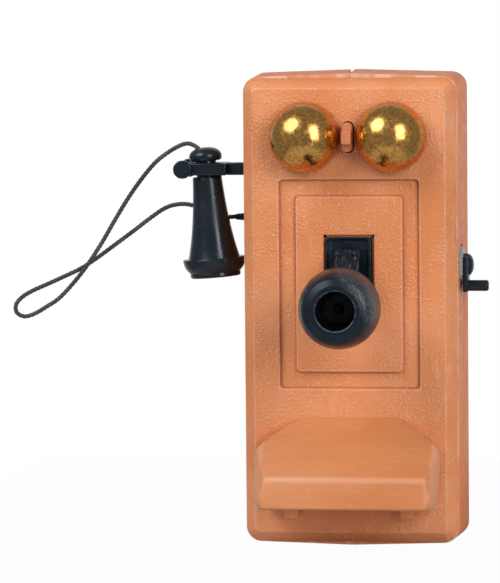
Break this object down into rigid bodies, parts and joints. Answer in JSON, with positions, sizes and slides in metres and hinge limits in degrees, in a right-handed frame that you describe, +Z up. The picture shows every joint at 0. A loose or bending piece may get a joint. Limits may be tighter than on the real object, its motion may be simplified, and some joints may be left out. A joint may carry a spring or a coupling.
{
  "type": "miniature wall crank telephone",
  "caption": "Small moulded wall telephone with bells, tilting transmitter, hung receiver on a fork, corded, with a side crank and a sloping writing shelf.",
  "frame": {"origin": "middle of the hanging hole in the back face", "axes": "+Z up along the case as it hangs, +Y into the wall, front faces -Y, receiver on the -X side"},
  "size_m": [0.1065, 0.0465, 0.103],
  "materials": {
    "cover_plastic": "satin orange-tan with fine orange-peel bumps and faint upright grain",
    "shell_plastic": "satin orange-tan, a little darker",
    "black_plastic": "semi-gloss blue-black",
    "bell_brass": "polished, finely scratched",
    "steel": "plain",
    "wheel_plastic": "light grey, satin",
    "sleeve_rubber": "matt black",
    "cord_fabric": "twisted thread, slightly fuzzy"
  },
  "bodies": {
    "case": {"back_plate": "shell_plastic", "left_shell": "shell_plastic", "right_shell": "shell_plastic", "front_cover": "cover_plastic", "case_screws": "steel", "left_bell": "bell_brass", "right_bell": "bell_brass", "bell_posts": "bell_brass", "striker_pin": "steel", "transmitter_bracket": "black_plastic", "bracket_screws": "steel", "hinge_pin": "black_plastic", "hook_pin": "steel", "cord_sleeve": "sleeve_rubber", "crank_bearing": "shell_plastic", "writing_shelf": "cover_plastic", "shelf_feet": "shell_plastic"},
    "striker": {"striker_head": "cover_plastic", "striker_wire": "steel"},
    "transmitter": {"transmitter_arm": "black_plastic", "transmitter_cup": "black_plastic", "mouthpiece": "black_plastic", "diaphragm": "black_plastic"},
    "receiver": {"receiver_body": "black_plastic", "receiver_cap": "black_plastic", "ear_cap": "black_plastic", "ear_disc": "steel", "cord": "cord_fabric"},
    "hook": {"hook_arm": "black_plastic"},
    "crank": {"crank_shaft": "steel", "toothed_wheel": "wheel_plastic", "crank_arm": "black_plastic", "crank_handle": "black_plastic", "shaft_clip": "steel"}
  },
  "joints": [
    {"name": "crank_spin", "type": "hinge", "parent": "case", "child": "crank", "pos_m": [0.0215, -0.011, -0.0206], "axis": [1, 0, 0], "continuous": true},
    {"name": "striker_swing", "type": "hinge", "parent": "case", "child": "striker", "pos_m": [0, -0.0171, 0.0074], "axis": [0, 0, 1], "range_deg": [-4, 4], "stiffness_Nm_per_rad": 0.0002},
    {"name": "transmitter_tilt", "type": "hinge", "parent": "case", "child": "transmitter", "pos_m": [0, -0.0221, -0.0179], "axis": [1, 0, 0], "range_deg": [-20, 15]},
    {"name": "receiver_off", "type": "slide", "parent": "case", "child": "receiver", "axis": [-0.9976, 0, 0.0698], "range_m": [0, 0.018]},
    {"name": "hook_rise", "type": "hinge", "parent": "case", "child": "hook", "pos_m": [-0.01875, -0.0085, 0.0002], "axis": [0, 1, 0], "range_deg": [0, 4.2]}
  ],
  "couplings": [
    {"joint": "hook_rise", "follows": "receiver_off", "rad_per_m": 3.8785}
  ]
}
